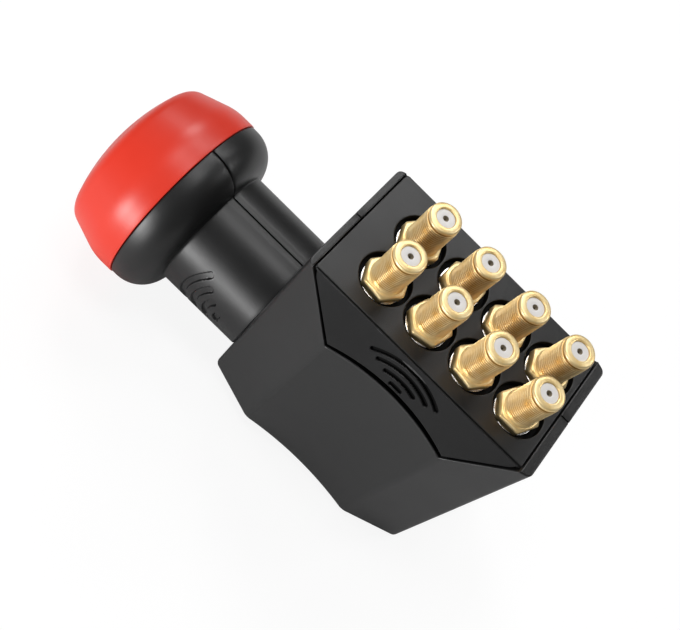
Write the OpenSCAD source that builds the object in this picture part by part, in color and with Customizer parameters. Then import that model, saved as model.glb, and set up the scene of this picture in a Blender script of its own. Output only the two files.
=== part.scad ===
// Satellite feed converter with eight sockets, to be clamped by its neck in front of a dish.
// X runs along the neck, from the domed cap towards the back of the body.
// Z points the way the sockets point, and the near half of the shell lies on the -Y side.
// The origin is on the neck's axis, where the neck meets the front face of the body.

/* [Neck and shoulder] */
// Diameter of the neck that the dish clamp grips
neck_d = 40; // [38:0.5:42]
// Length of the neck between shoulder and body
neck_length = 28.4; // [24:0.2:36]
// Radius of the shoulder behind the cap
shoulder_r = 29.5; // [28.5:0.1:31]
// How far the middle of the shoulder's rounding lies inside the neck's surface
shoulder_dip = 0.5; // [0.3:0.1:1]
// Straight band between the rounding and the cap
shoulder_band = 1.8; // [1:0.2:5]
// Wall of the moulded shells
shell_wall = 2.2; // [1.8:0.1:2.8]
// Thickness of each ring inside the neck that holds the waveguide
neck_ring_t = 2; // [1.5:0.1:3]
// Distance of the front ring from the shoulder, and of the rear ring from the body
neck_ring_in = 5; // [3:0.5:8]
// Radius of the widest of the nested grooves on the neck
neck_wave_r = 16.2; // [14:0.2:18]
// Distance between those grooves
neck_wave_step = 4.2; // [3.5:0.1:5]
// Width of those grooves
neck_wave_w = 2; // [1.4:0.1:2.4]
// Distance of the middle of their arcs from the body
neck_wave_in = 5.6; // [4:0.2:8]

/* [Feed cap] */
// How far the cap's rim stands proud of the shoulder
cap_proud = 0.3; // [0.1:0.1:0.6]
// Straight part of the cap behind the seam
cap_straight = 3.8; // [2:0.2:8]
// Radius of the bend from the straight part to the leaning side
cap_bend_r = 18; // [10:1:30]
// Lean of the cap's side, in degrees
cap_lean = 19; // [10:1:25]
// Length of the leaning side
cap_side = 8.1; // [5:0.1:12]
// Radius of the edge round the dome
cap_edge_r = 5; // [4:0.5:8]
// Lean of the dome where it meets the edge, in degrees
cap_dome_lean = 22; // [15:1:28]
// Wall of the cap
cap_wall = 2; // [1.5:0.1:2.5]
// Length of the spigot that the cap slips over
spigot_length = 6; // [5:0.5:7]
// Wall of the spigot
spigot_wall = 2.5; // [2.2:0.1:3]
// Radial gap between cap and spigot
cap_fit = 0.15; // [0.05:0.05:0.25]
// Section diameter of the sealing ring
seal_d = 1.4; // [1:0.1:1.6]
// Gap round the sealing ring in its groove
seal_gap = 0.05; // [0.02:0.01:0.1]

/* [Body] */
// How far the body's ends are wider than the neck, on each side
end_margin = 0.2; // [0.1:0.1:1]
// How far the body's sides stand out beyond its ends
side_out = 6.1; // [5:0.1:7]
// Distance of the widest place from each end
wide_in = 18; // [15:0.5:22]
// Depth of the hollow in each side wall
side_hollow = 1.9; // [1:0.1:3]
// Depth of the body below the neck
drop_margin = 3; // [2:0.5:6]
// Height of the socket plate above the neck's axis
plate_rise = 55; // [52:0.5:62]
// Height of the end rims above the socket plate
rim_rise = 0.2; // [0.1:0.1:3]
// Thickness of the end rims
rim_t = 2; // [1.6:0.1:2.6]
// Thickness of the rear rim
rear_rim_t = 3.1; // [2:0.1:4]
// Rounding of the upright corners at the ends
corner_r = 2; // [1:0.5:4]
// Rounding of the upright edges at the widest place
soft_r = 6; // [3:0.5:9]
// Rounding of the lower edges
foot_r = 2.5; // [1.5:0.5:4]
// Chamfer of the rims' upper edges
rim_chamfer = 0.4; // [0.2:0.1:0.8]

/* [Socket cover] */
// Thickness of the socket plate
plate_t = 2.4; // [2:0.1:3]
// Thickness of the side flaps
flap_t = 2; // [1.6:0.1:2.6]
// Height of the side flaps
flap_drop = 13; // [10:0.5:16]
// How far the side flaps slope outwards
flap_out = 5.9; // [4:0.1:6]
// Rise of the arched lower edge of each flap
arch_rise = 2.9; // [2:0.1:6]
// Seam between cover and shells
cover_seam = 0.3; // [0.2:0.05:0.5]
// How much wider the seam is in the middle of the arch
arch_seam = 0.8; // [0:0.1:1.5]
// Gap between the plate and the casting below it
plate_gap = 0.3; // [0.1:0.1:0.5]
// Gap between each socket's washer and the hole round it
port_gap = 1; // [0.6:0.1:1.4]
// Width and depth of the line between plate and flaps
fold_line = 0.5; // [0.3:0.1:0.8]
// Radius of the widest of the nested grooves on each flap
flap_wave_r = 20; // [16:0.5:24]
// Distance of that groove's top from the plate, down the flap
flap_wave_in = 1.9; // [1.2:0.1:3]
// Distance between those grooves
flap_wave_step = 2.3; // [2:0.1:2.4]
// Width of those grooves
flap_wave_w = 1.1; // [0.8:0.1:1.4]
// Depth of the nested grooves on flaps and neck
wave_depth = 0.5; // [0.3:0.1:0.8]

/* [Sockets] */
// Distance from the body's front to the first pair of sockets
port_first = 17; // [15:0.5:20]
// Distance from the last pair of sockets to the body's back
port_last = 12.5; // [12:0.1:16]
// Web between neighbouring holes of a row
port_web = 0.6; // [0.4:0.1:1.5]
// Web between the two rows of holes
row_web = 0.9; // [0.6:0.1:1.5]
// Radius over the threads
thread_r = 4.76; // [4.7:0.01:4.8]
// Length of the threaded barrel above the hexagon
thread_length = 13; // [9:0.5:16]
// Width of the hexagon across its flats
hex_af = 11.2; // [10.8:0.1:12]
// Height of the hexagon
hex_h = 3; // [2:0.1:4]
// How far the hexagon's chamfer reaches inside its flats
hex_bevel = 0.2; // [0.1:0.05:0.4]
// Radius of the smooth collar at the socket's mouth
collar_r = 4.55; // [4.4:0.05:4.7]
// Length of the smooth collar
collar_length = 1; // [0.6:0.1:1.6]
// Width and depth of the groove behind the collar
collar_groove = 0.4; // [0.2:0.1:0.6]
// Radius of the white insulator
insulator_r = 2.7; // [2.4:0.1:3]
// Depth of the insulator's face below the mouth
insulator_in = 0.4; // [0.2:0.1:1]
// Radius of the centre contact
contact_r = 0.55; // [0.4:0.05:0.6]
// Depth of the contact below the insulator's face
contact_in = 3; // [1:0.5:5]
// How far the washer stands out beyond the hexagon's corners
washer_lip = 0.034; // [0.01:0.001:0.2]
// Thickness of the washer
washer_t = 0.8; // [0.5:0.1:1.2]
// Gap of each turned fit inside a socket
port_fit = 0.05; // [0.02:0.01:0.1]

/* [Casting] */
// Distance from the neck's surface in to the waveguide's bore
guide_room = 11; // [10.5:0.1:12]
// Wall of the waveguide
guide_wall = 3; // [2.5:0.1:3.5]
// Depth of the waveguide inside the body
guide_depth = 24; // [22:0.5:30]
// Height of the rings of the feed horn
horn_ring_h = 8; // [5:0.5:9]
// Thickness of each ring of the feed horn
horn_ring_t = 1.5; // [1.2:0.1:2]
// Thickness of the plate that carries the rings
horn_plate_t = 3; // [2:0.5:4]
// Gap between castings and shells
cast_gap = 0.3; // [0.2:0.05:0.4]
// Wall of the castings
cast_wall = 2; // [1.8:0.1:2.5]
// Thickness of the wall that carries the sockets
deck_t = 2.5; // [2:0.1:3]
// Height of the parting face between the two castings
split_rise = 26; // [24:0.5:30]
// Thickness of the gasket between the castings
gasket_t = 1; // [0.6:0.1:1.5]
// Gap between the waveguide and the tray's floor
tray_lift = 1; // [0.8:0.1:2]
// Radius of the bosses for the casting screws
boss_r = 3.4; // [3.2:0.1:4]
// Radius of the casting screws
screw_r = 1.5; // [1.2:0.1:1.6]
// Length of the casting screws in the upper bosses
screw_bite = 8; // [5:0.5:10]
// How far each screw's head stays inside its boss
screw_head_in = 0.5; // [0.3:0.1:1]
// Height of the casting screws' heads
screw_head_h = 2; // [1.5:0.1:2.5]
// Clearance round a screw or a pin in its hole
hole_gap = 0.1; // [0.05:0.05:0.2]

/* [Circuit boards] */
// Thickness of both boards
board_t = 1.6; // [1:0.1:2]
// Height of the pillars that carry the boards
pillar_h = 3; // [2:0.5:4]
// Drop of the switch board below the casting's deck
switch_drop = 6; // [5:0.5:8]
// Radius of the pillars
pillar_r = 2.6; // [2.4:0.1:3.2]
// Radius of the board screws
board_screw_r = 1; // [0.8:0.1:1.2]
// Radius of the board screws' heads
board_head_r = 2.2; // [1.8:0.1:2.5]
// Height of the board screws' heads
board_head_h = 1.3; // [1:0.1:1.6]
// Gap between board and casting wall
board_gap = 0.3; // [0.2:0.1:0.6]
// Distance between the pins that link both boards
link_spacing = 2.54; // [2:0.02:3]
// Radius of those pins
link_pin_r = 0.35; // [0.3:0.05:0.5]
// Height of the block that holds them
link_block_h = 8; // [6:0.5:9]
// Side of the mixer chip
mixer_size = 7; // [5:0.5:9]
// Side of the switch chip
switch_chip_size = 9; // [7:0.5:10]
// Height of both chips
chip_h = 1; // [0.8:0.1:1.6]
// Length of the crystal's can
crystal_length = 5; // [3:0.1:6]
// Width of the crystal's can
crystal_width = 3.2; // [2:0.1:4]
// Height of the crystal's can
crystal_h = 1.2; // [0.8:0.1:2]

/* [Probes] */
// Radius of the two probes in the waveguide
probe_r = 0.6; // [0.5:0.05:0.8]
// Reach of each probe into the waveguide
probe_reach = 5; // [4:0.5:6]
// Radius of the insulating bushes round the probes
bush_r = 2; // [1.6:0.1:2.4]
// Distance of the upright probe from the body's front
probe_in = 8; // [7:0.5:9]
// Distance between the two probes
probe_step = 10; // [9:0.5:11]
// Radius of the rod between the probes
rod_r = 0.8; // [0.6:0.1:1]

/* [Hidden] */
round_steps = 96;
small_steps = 48;
eps = 0.01;
span = 400;
over = 1;
arc_steps = 8;

plastic_black = [0.13, 0.13, 0.13];
plastic_red = [0.9, 0.16, 0.12];
rubber_black = [0.2, 0.2, 0.2];
cast_metal = [0.74, 0.74, 0.76];
cast_painted = [0.1, 0.1, 0.1];
steel = [0.8, 0.8, 0.82];
gold = [0.86, 0.68, 0.3];
board_green = [0.1, 0.35, 0.2];
insulator_white = [0.93, 0.93, 0.95];

neck_r = neck_d / 2;
shoulder_round = shoulder_r - neck_r + shoulder_dip;
seam_x = -neck_length - shoulder_round - shoulder_band;
cap_r = shoulder_r + cap_proud;
end_half_w = neck_r + end_margin;
wide_half_w = end_half_w + side_out;
body_drop = neck_r + drop_margin;

// Each socket's hexagon sets its washer, its hole, the rows and the body's length.
hex_r = hex_af / 2 / cos(30);
washer_r = hex_r + washer_lip;
port_hole_r = washer_r + port_gap;
port_pitch = 2 * port_hole_r + port_web;
port_rows = 2 * port_hole_r + row_web;
port_count = 4;
body_length = port_first + (port_count - 1) * port_pitch + port_last;
mid_x = body_length / 2;
rim_top = plate_rise + rim_rise;
flap_low = plate_rise - flap_drop;

// The sockets stand on the upper casting, which lies under the plate.
cast_top = plate_rise - plate_t - plate_gap;
hex_top = cast_top + washer_t + hex_h;
port_top = hex_top + thread_length;
port_foot = cast_top - deck_t - washer_t;

// The castings fill the shells from end to end.
cast_x0 = shell_wall + cast_gap;
cast_x1 = body_length - shell_wall - cast_gap;
lean = (wide_half_w - end_half_w) / wide_in;
lean_len = sqrt(1 + lean * lean);
inner_half_w = end_half_w + lean * shell_wall - shell_wall * lean_len;
cast_half_w = inner_half_w - cast_gap;
guide_r = neck_r - guide_room;
guide_out_r = guide_r + guide_wall;
tray_floor = guide_out_r + tray_lift;
tray_low = tray_floor - cast_wall;
boss_in = boss_r + cast_wall / 2;
boss_spots = [for (x = [cast_x0 + boss_in, cast_x1 - boss_in], y = [-1, 1])
    [x, y * (cast_half_w - boss_in)]];

// The boards lie between the bosses.
board_x0 = cast_x0 + boss_in + boss_r + board_gap;
board_x1 = cast_x1 - boss_in - boss_r - board_gap;
board_half_w = cast_half_w - cast_wall - board_gap;
rf_z = tray_floor + pillar_h;
switch_z = cast_top - deck_t - switch_drop;
pillar_in = pillar_r + board_gap;
rf_spots = [for (x = [board_x0 + pillar_in, board_x1 - pillar_in], y = [-1, 1])
    [x, y * (board_half_w - pillar_in)]];
switch_spots = [for (i = [0.5, port_count - 1.5], y = [-1, 1])
    [port_first + i * port_pitch, y * (board_half_w - pillar_in)]];
link_x = port_first + (port_count - 1.5) * port_pitch;
link_pins = 4;

// The horn's plate sits in the spigot of the shells.
spigot_r = cap_r - cap_wall - cap_fit;
spigot_in_r = spigot_r - spigot_wall;
horn_r = spigot_in_r - cast_gap;
horn_x = seam_x - spigot_length / 2 + horn_plate_t / 2;
horn_ring_n = 3;
seal_x = seam_x - spigot_length / 2;
seal_r = seal_d / 2;
seal_mid_r = spigot_r + cap_fit - seal_gap - seal_r;

// Each socket's hexagon was left at its own angle when it was tightened.
hex_turns = [54, 13, 52, 1, 52, 28, 41, 50];
hex_bevel_lean = 30;

// Reach of each nested groove to either side of its middle, in degrees, the widest first.
neck_wave_reach = [41, 37, 33, 20];
flap_wave_reach = [35, 26, 17, 8];

// Points as [place along the axis, radius] on an arc, with angles from the radial direction.
function on_arc(c, r, a) = [c[0] - r * sin(a), c[1] + r * cos(a)];
function arc_points(c, r, a0, a1, n) = [for (i = [0:n]) on_arc(c, r, a0 + (a1 - a0) * i / n)];

// A revolved shape round the neck's axis, from points of [place along the axis, radius].
module turned(points) {
    rotate([0, 90, 0])
        rotate_extrude($fn = round_steps)
            polygon([for (p = points) [p[1], p[0]]]);
}

// A tube round the neck's axis between two places.
module tube_x(x0, x1, r_out, r_in) {
    turned([[x0, r_in], [x1, r_in], [x1, r_out], [x0, r_out]]);
}

// A box between two corners.
module block(low, high) {
    translate(low)
        cube(high - low);
}

// The cap's outline, moved inwards by d: straight rim, bend, leaning side, edge and dome.
bend_c = [seam_x - cap_straight, cap_r - cap_bend_r];
side_end = on_arc(bend_c, cap_bend_r, cap_lean) - cap_side * [cos(cap_lean), sin(cap_lean)];
edge_c = side_end + cap_edge_r * [sin(cap_lean), -cos(cap_lean)];
edge_end = on_arc(edge_c, cap_edge_r, 90 - cap_dome_lean);
dome_r = edge_end[1] / sin(cap_dome_lean);
dome_c = [edge_end[0] + dome_r * cos(cap_dome_lean), 0];

function cap_outline(d) = concat(
    [[seam_x, cap_r - d]],
    arc_points(bend_c, cap_bend_r - d, 0, cap_lean, arc_steps),
    arc_points(edge_c, cap_edge_r - d, cap_lean, 90 - cap_dome_lean, arc_steps),
    [for (i = [1:arc_steps]) on_arc(dome_c, dome_r - d, 90 - cap_dome_lean * (1 - i / arc_steps))]
);

// The space inside the cap, less a gap, reaching a little behind the seam.
module inside_cap(gap) {
    turned(concat([[seam_x + over, 0], [seam_x + over, cap_r]], cap_outline(cap_wall + gap)));
}

module feed_cap() {
    inner = cap_outline(cap_wall);
    color(plastic_red)
        turned(concat(cap_outline(0), [for (i = [len(inner) - 1:-1:0]) inner[i]]));
}

module cap_seal() {
    color(rubber_black)
        rotate([0, 90, 0])
            rotate_extrude($fn = round_steps)
                translate([seal_mid_r, seal_x])
                    circle(r = seal_r, $fn = small_steps);
}

// Nested grooves like radio waves, cut downwards from the XY plane. The arcs lie round the
// origin, the widest outside, and each reaches half_angles[i] to either side of +Y.
module waves(r, step, w, depth, half_angles) {
    for (i = [0:len(half_angles) - 1])
        rotate(90 - half_angles[i])
            rotate_extrude(angle = 2 * half_angles[i], $fn = round_steps)
                translate([r - i * step - w / 2, -depth])
                    square([w, depth + over]);
}

// The waves on both sides of the neck, as deep all along its round surface.
module neck_waves() {
    intersection() {
        tube_x(-neck_length, 0, neck_r + over, neck_r - wave_depth);
        for (side = [0, 1])
            mirror([0, side, 0])
                translate([-neck_wave_in, -neck_r, 0])
                    rotate([90, 0, 0])
                        rotate(90)
                            waves(neck_wave_r, neck_wave_step, neck_wave_w, neck_r / 2, neck_wave_reach);
    }
}

// The waves on both flaps, whose planes lean outwards from the plate.
module flap_waves() {
    for (side = [0, 1])
        mirror([0, side, 0])
            translate([mid_x, -end_half_w, plate_rise])
                rotate([atan2(flap_drop, flap_out), 0, 0])
                    translate([0, -flap_wave_in - flap_wave_r, 0])
                        waves(flap_wave_r, flap_wave_step, flap_wave_w, wave_depth, flap_wave_reach);
}

// The body seen from above, moved inwards by d, from the front near corner round to the back.
half_chord = mid_x - wide_in;
hollow_r = (half_chord * half_chord + side_hollow * side_hollow) / (2 * side_hollow);
hollow_y = wide_half_w - side_hollow + hollow_r;
hollow_steps = 2 * arc_steps;

function hollow_side(x, d) = hollow_y - sqrt(pow(hollow_r + d, 2) - pow(x - mid_x, 2));
function end_half(d) = end_half_w + lean * d - d * lean_len;

// An arc of radius r in place of corner b, between points a and c.
function rounded_corner(a, b, c, r, n) =
    let (
        u = (a - b) / norm(a - b),
        v = (c - b) / norm(c - b),
        half = acos(u * v) / 2,
        middle = b + (u + v) / norm(u + v) * (r / sin(half)),
        first = b + u * (r / tan(half)) - middle,
        last = b + v * (r / tan(half)) - middle,
        start = atan2(first[1], first[0]),
        turn = (atan2(last[1], last[0]) - start + 540) % 360 - 180
    )
    [for (i = [0:n]) middle + r * [cos(start + turn * i / n), sin(start + turn * i / n)]];

// Corners of the near side, each with its rounding, where 0 keeps the point.
function near_corners(d) = concat(
    [[d, -end_half(d), corner_r], [wide_in, -hollow_side(wide_in, d), soft_r]],
    [for (i = [1:hollow_steps - 1])
        let (x = wide_in + 2 * half_chord * i / hollow_steps)
        [x, -hollow_side(x, d), 0]],
    [[body_length - wide_in, -hollow_side(wide_in, d), soft_r], [body_length - d, -end_half(d), corner_r]]
);

function plan_points(d) =
    let (
        near = near_corners(d),
        far = [for (i = [len(near) - 1:-1:0]) [near[i][0], -near[i][1], near[i][2]]],
        all = concat(near, far),
        n = len(all)
    )
    [for (i = [0:n - 1])
        let (
            a = all[(i + n - 1) % n],
            b = all[i],
            c = all[(i + 1) % n],
            flat = [b[0], b[1]],
            arc = rounded_corner([a[0], a[1]], flat, [c[0], c[1]], max(b[2] - d, eps), arc_steps / 2)
        )
        each (b[2] == 0 ? [flat] : arc)];

// A closed skin through copies of the plan, each given as [height, inset]. Its two ends are
// fans of triangles round the middle, because the hollow sides bend inwards.
module plan_skin(levels) {
    rings = [for (l = levels) [for (p = plan_points(l[1])) [p[0], p[1], l[0]]]];
    n = len(rings[0]);
    m = len(rings);
    low_middle = m * n;
    top_middle = low_middle + 1;
    polyhedron(
        points = concat(
            [for (r = rings) each r],
            [[mid_x, 0, levels[0][0]], [mid_x, 0, levels[m - 1][0]]]
        ),
        faces = concat(
            [for (i = [0:n - 1]) [low_middle, i, (i + 1) % n]],
            [for (i = [0:n - 1]) [top_middle, (m - 1) * n + (i + 1) % n, (m - 1) * n + i]],
            [for (k = [0:m - 2], i = [0:n - 1])
                [k * n + i, (k + 1) * n + i, (k + 1) * n + (i + 1) % n, k * n + (i + 1) % n]]
        )
    );
}

// The body's outer form, with rounded lower edges and chamfered rims.
module body_form() {
    foot_steps = arc_steps / 2;
    foot = [for (i = [0:foot_steps])
        let (a = 90 * i / foot_steps)
        [foot_r * (1 - cos(a)) - body_drop, foot_r * (1 - sin(a))]];
    plan_skin(concat(foot, [[rim_top - rim_chamfer, 0], [rim_top, rim_chamfer]]));
}

// The side of the shells seen from the near side: the opening that the cover fills,
// with its lower edge arched, moved inwards by s and with the arch risen by more.
x_front = rim_t;
x_rear = body_length - rear_rim_t;
arch_steps = 2 * arc_steps;

function arch_z(x, low, rise) =
    let (r = (half_chord * half_chord + rise * rise) / (2 * rise))
    low + rise - r + sqrt(r * r - pow(x - mid_x, 2));

function slope_shift(run, s) = s * norm([run, flap_drop]) / run;

function opening(s, more) =
    let (
        front_run = wide_in - x_front,
        rear_run = x_rear - (body_length - wide_in),
        low = flap_low + slope_shift(max(front_run, rear_run), s)
    )
    concat(
        [[x_front + s, rim_top + rim_rise],
         [x_front + s, plate_rise + slope_shift(front_run, s) - s * flap_drop / front_run]],
        [for (i = [0:arch_steps])
            let (x = wide_in + 2 * half_chord * i / arch_steps)
            [x, arch_z(x, low, arch_rise + more)]],
        [[x_rear - s, plate_rise + slope_shift(rear_run, s) - s * flap_drop / rear_run],
         [x_rear - s, rim_top + rim_rise]]
    );

module across(points) {
    rotate([90, 0, 0])
        linear_extrude(span, center = true)
            polygon(points);
}

// The body's hollow: as wide as the walls leave it up to the plate's underside, and ending
// at the thicker rear rim above that.
module body_hollow() {
    step_z = plate_rise - plate_t;
    translate([0, 0, shell_wall - body_drop])
        linear_extrude(step_z + body_drop - shell_wall)
            polygon(plan_points(shell_wall));
    intersection() {
        translate([0, 0, step_z - eps])
            linear_extrude(span)
                polygon(plan_points(shell_wall));
        block([0, -span, step_z - over], [x_rear, span, span]);
    }
}

// Both halves of the outer shell in one: shoulder, neck and body, hollow inside.
module shells() {
    ring_r = guide_out_r + cast_gap / 2;
    shoulder_c = [-neck_length - shoulder_round, shoulder_r - shoulder_round];
    hollow_round = shoulder_round - shell_wall;
    difference() {
        union() {
            body_form();
            turned(concat(
                [[seam_x, 0], [seam_x, shoulder_r]],
                arc_points(shoulder_c, -shoulder_round, 180, 90, arc_steps),
                [[-neck_length, 0]]
            ));
            tube_x(-neck_length - eps, eps, neck_r, 0);
            intersection() {
                tube_x(seam_x - spigot_length, seam_x + eps, spigot_r, 0);
                inside_cap(cap_fit);
            }
        }
        body_hollow();
        across(opening(0, 0));
        neck_waves();
        turned(concat(
            [[seam_x - spigot_length - eps, 0], [seam_x - spigot_length - eps, spigot_in_r],
             [seam_x, spigot_in_r]],
            arc_points(shoulder_c, -hollow_round, 180, 90, arc_steps),
            [[-neck_length - shell_wall, 0]]
        ));
        tube_x(-neck_length - shoulder_round, -neck_length + neck_ring_in, neck_r - shell_wall, 0);
        tube_x(-neck_length, shell_wall + eps, ring_r, 0);
        tube_x(
            -neck_length + neck_ring_in + neck_ring_t, -neck_ring_in - neck_ring_t,
            neck_r - shell_wall, 0
        );
        tube_x(-neck_ring_in, shell_wall + eps, neck_r - shell_wall, 0);
        difference() {
            tube_x(seal_x - seal_r - seal_gap, seal_x + seal_r + seal_gap, spigot_r + over, 0);
            tube_x(seal_x - seal_d, seal_x + seal_d, seal_mid_r - seal_r - seal_gap, 0);
        }
    }
}

module shell_near() {
    color(plastic_black)
        intersection() {
            shells();
            translate([-span / 2, -span, -span / 2])
                cube(span);
        }
}

module shell_far() {
    color(plastic_black)
        intersection() {
            shells();
            translate([-span / 2, 0, -span / 2])
                cube(span);
        }
}

// The places of the sockets: the near row first, then the far row, each from the front.
function port_at(i) = [
    port_first + (i % port_count) * port_pitch,
    (i < port_count ? -1 : 1) * port_rows / 2
];

module at_ports(z) {
    for (i = [0:2 * port_count - 1])
        translate([port_at(i)[0], port_at(i)[1], z])
            children();
}

// The cover's cross-section: a flat plate with a flap sloping down on each side.
module cover_section() {
    slope = flap_out / flap_drop;
    slope_len = norm([1, slope]);
    inner_y = end_half_w + slope * plate_t - flap_t * slope_len;
    low = flap_low;
    outer_low_y = end_half_w + flap_out;
    difference() {
        polygon([
            [-outer_low_y, low], [-end_half_w, plate_rise], [end_half_w, plate_rise], [outer_low_y, low],
            [outer_low_y - flap_t * slope_len, low], [inner_y, plate_rise - plate_t],
            [-inner_y, plate_rise - plate_t], [-outer_low_y + flap_t * slope_len, low]
        ]);
        for (side = [-1, 1])
            translate([side * (end_half_w - fold_line), plate_rise])
                rotate(45)
                    square(fold_line, center = true);
    }
}

module socket_cover() {
    color(plastic_black)
        difference() {
            intersection() {
                rotate([90, 0, 90])
                    linear_extrude(body_length)
                        cover_section();
                across(opening(cover_seam, arch_seam));
            }
            at_ports(plate_rise - plate_t - over)
                cylinder(h = plate_t + 2 * over, r = port_hole_r, $fn = small_steps);
            flap_waves();
        }
}

module at_spots(spots, z) {
    for (p = spots)
        translate([p[0], p[1], z])
            children();
}

level_x = probe_in + probe_step;
level_y = guide_out_r + bush_r;
rod_x = probe_in + probe_step / 2;
rod_length = guide_out_r + guide_r + guide_wall / 2;

// The lower casting: feed horn, waveguide and the tray for the receiver board.
module feed_casting() {
    ring_step = (horn_r - guide_r - horn_ring_t) / horn_ring_n;
    color(cast_metal)
        difference() {
            union() {
                tube_x(horn_x - horn_plate_t, horn_x, horn_r, 0);
                intersection() {
                    union() {
                        for (i = [0:horn_ring_n])
                            tube_x(
                                horn_x - horn_plate_t - horn_ring_h, horn_x - eps,
                                guide_r + i * ring_step + horn_ring_t, guide_r + i * ring_step
                            );
                    }
                    inside_cap(cast_gap);
                }
                tube_x(horn_x - eps, guide_depth + guide_wall, guide_out_r, 0);
                difference() {
                    block([cast_x0, -cast_half_w, tray_low], [cast_x1, cast_half_w, split_rise]);
                    block(
                        [cast_x0 + cast_wall, -cast_half_w + cast_wall, tray_floor],
                        [cast_x1 - cast_wall, cast_half_w - cast_wall, split_rise + over]
                    );
                }
                at_spots(boss_spots, tray_floor - eps)
                    cylinder(h = split_rise - tray_floor + eps, r = boss_r, $fn = small_steps);
                at_spots(rf_spots, tray_floor - eps)
                    cylinder(h = pillar_h + eps, r = pillar_r, $fn = small_steps);
                block(
                    [level_x - bush_r - cast_wall, -level_y - bush_r - cast_wall, -bush_r - cast_wall],
                    [level_x + bush_r + cast_wall, 0, tray_low + eps]
                );
            }
            tube_x(horn_x - horn_plate_t - horn_ring_h - over, guide_depth, guide_r, 0);
            at_spots(boss_spots, tray_low - over)
                cylinder(h = split_rise, r = screw_r + hole_gap, $fn = small_steps);
            at_spots(rf_spots, tray_floor)
                cylinder(h = pillar_h + over, r = board_screw_r + hole_gap, $fn = small_steps);
            translate([probe_in, 0, 0])
                cylinder(h = tray_floor + over, r = bush_r + hole_gap / 2, $fn = small_steps);
            translate([rod_x, 0, -guide_out_r - over])
                cylinder(h = rod_length + over, r = rod_r + hole_gap / 2, $fn = small_steps);
            translate([level_x, -level_y, -bush_r])
                cylinder(h = tray_floor + bush_r + over, r = bush_r + hole_gap / 2, $fn = small_steps);
            translate([level_x, 0, 0])
                rotate([90, 0, 0])
                    cylinder(h = level_y, r = bush_r + hole_gap / 2, $fn = small_steps);
        }
}

// The upper casting: an open box turned down over the tray, whose deck carries the sockets.
upper_low = split_rise + gasket_t;
deck_low = cast_top - deck_t;

module upper_casting() {
    color(cast_painted)
        difference() {
            union() {
                difference() {
                    block([cast_x0, -cast_half_w, upper_low], [cast_x1, cast_half_w, cast_top]);
                    block(
                        [cast_x0 + cast_wall, -cast_half_w + cast_wall, upper_low - over],
                        [cast_x1 - cast_wall, cast_half_w - cast_wall, deck_low]
                    );
                }
                at_spots(boss_spots, upper_low)
                    cylinder(h = deck_low - upper_low + eps, r = boss_r, $fn = small_steps);
                at_spots(switch_spots, switch_z + board_t)
                    cylinder(h = deck_low - switch_z - board_t + eps, r = pillar_r, $fn = small_steps);
            }
            at_spots(boss_spots, upper_low - over)
                cylinder(h = screw_bite + 2 * over, r = screw_r + hole_gap, $fn = small_steps);
            at_spots(switch_spots, switch_z)
                cylinder(h = deck_low - switch_z, r = board_screw_r + hole_gap, $fn = small_steps);
            at_ports(deck_low - over)
                cylinder(h = deck_t + 2 * over, r = thread_r + port_fit, $fn = small_steps);
        }
}

module casting_gasket() {
    color(rubber_black)
        difference() {
            union() {
                difference() {
                    block([cast_x0, -cast_half_w, split_rise], [cast_x1, cast_half_w, upper_low]);
                    block(
                        [cast_x0 + cast_wall, -cast_half_w + cast_wall, split_rise - over],
                        [cast_x1 - cast_wall, cast_half_w - cast_wall, upper_low + over]
                    );
                }
                at_spots(boss_spots, split_rise)
                    cylinder(h = gasket_t, r = boss_r, $fn = small_steps);
            }
            at_spots(boss_spots, split_rise - over)
                cylinder(h = gasket_t + 2 * over, r = screw_r + hole_gap, $fn = small_steps);
        }
}

// A screw that stands head down at the origin, with its shaft along +Z.
module screw(shaft_r, length, cap_radius, cap_h) {
    difference() {
        union() {
            cylinder(h = length, r = shaft_r, $fn = small_steps);
            translate([0, 0, -cap_h])
                cylinder(h = cap_h, r = cap_radius, $fn = small_steps);
        }
        translate([0, 0, -cap_h - over])
            cylinder(h = cap_h / 2 + over, r = shaft_r, $fn = 6);
    }
}

module casting_screws() {
    color(steel)
        at_spots(boss_spots, tray_low)
            screw(screw_r, upper_low - tray_low + screw_bite, boss_r - screw_head_in, screw_head_h);
}

module rf_board_screws() {
    color(steel)
        at_spots(rf_spots, rf_z + board_t)
            mirror([0, 0, 1])
                screw(board_screw_r, board_t + pillar_h - board_gap, board_head_r, board_head_h);
}

module switch_board_screws() {
    color(steel)
        at_spots(switch_spots, switch_z)
            screw(board_screw_r, board_t + pillar_h, board_head_r, board_head_h);
}

// A board with holes for its screws and for the pins that link both boards.
module board(z, spots) {
    difference() {
        block([board_x0, -board_half_w, z], [board_x1, board_half_w, z + board_t]);
        at_spots(spots, z - over)
            cylinder(h = board_t + 2 * over, r = board_screw_r + hole_gap, $fn = small_steps);
        link_spots(z - over)
            cylinder(h = board_t + 2 * over, r = link_pin_r + hole_gap, $fn = small_steps);
    }
}

module link_spots(z) {
    for (i = [0:link_pins - 1])
        translate([link_x, (i - (link_pins - 1) / 2) * link_spacing, z])
            children();
}

module rf_board() {
    color(board_green)
        difference() {
            board(rf_z, rf_spots);
            translate([probe_in, 0, rf_z - over])
                cylinder(h = board_t + 2 * over, r = probe_r + hole_gap, $fn = small_steps);
            translate([level_x, -level_y, rf_z - over])
                cylinder(h = board_t + 2 * over, r = probe_r + hole_gap, $fn = small_steps);
        }
}

module switch_board() {
    color(board_green)
        difference() {
            board(switch_z, switch_spots);
            at_ports(switch_z - over)
                cylinder(h = board_t + 2 * over, r = contact_r + hole_gap, $fn = small_steps);
        }
}

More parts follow.
